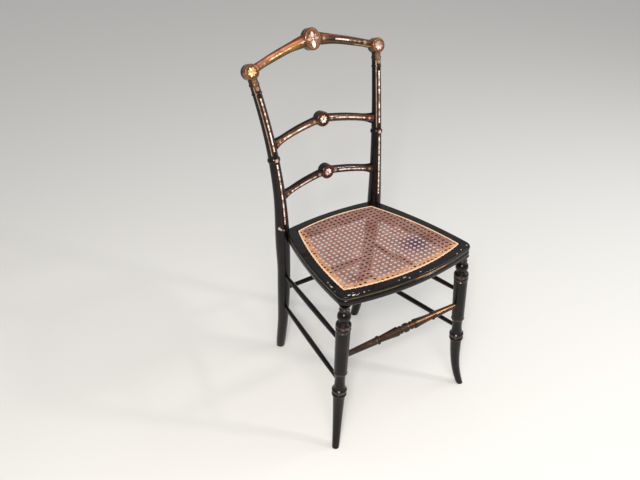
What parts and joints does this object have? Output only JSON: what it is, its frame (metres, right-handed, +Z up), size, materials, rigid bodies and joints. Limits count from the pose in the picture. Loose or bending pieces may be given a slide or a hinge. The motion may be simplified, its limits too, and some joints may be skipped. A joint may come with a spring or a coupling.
{
  "type": "side chair",
  "caption": "Side chair with a bowed caned seat, turned front legs on curved feet, turned stretchers, and a raked back of arched rails with round bosses and pearl inlay.",
  "frame": {"origin": "on the floor, under the middle of the chair's outer box", "axes": "+Z up from the floor to the crest; -Y the way the seat's front edge faces; +X to the right seen from the front"},
  "size_m": [0.415, 0.4557, 0.8714],
  "materials": {
    "ebonised_wood": "glossy black lacquer over turned wood, with rubbed bronze-powder decoration and gilt lines",
    "mother_of_pearl": "polished mother-of-pearl inlay",
    "cane": "woven rattan cane, unvarnished, tan and partly darkened",
    "cane_binding": "split rattan binding, satin, paler than the weave"
  },
  "bodies": {
    "root": {"seat_side_rail_left": "ebonised_wood", "seat_side_rail_right": "ebonised_wood", "seat_front_rail": "ebonised_wood", "seat_back_rail": "ebonised_wood", "seat_dowels": "ebonised_wood", "rear_post_left": "ebonised_wood", "rear_post_right": "ebonised_wood", "front_leg_left": "ebonised_wood", "front_leg_right": "ebonised_wood", "side_stretcher_upper_left": "ebonised_wood", "side_stretcher_upper_right": "ebonised_wood", "side_stretcher_lower_left": "ebonised_wood", "side_stretcher_lower_right": "ebonised_wood", "front_stretcher": "ebonised_wood", "rear_stretcher": "ebonised_wood", "crest_rail": "ebonised_wood", "middle_cross_rail": "ebonised_wood", "lower_cross_rail": "ebonised_wood", "crest_star": "mother_of_pearl", "post_star_left": "mother_of_pearl", "post_star_right": "mother_of_pearl", "middle_star": "mother_of_pearl", "lower_star": "mother_of_pearl", "pearl_dots": "mother_of_pearl", "pearl_strips": "mother_of_pearl", "cane_panel": "cane", "cane_binding": "cane_binding"}
  },
  "joints": []
}
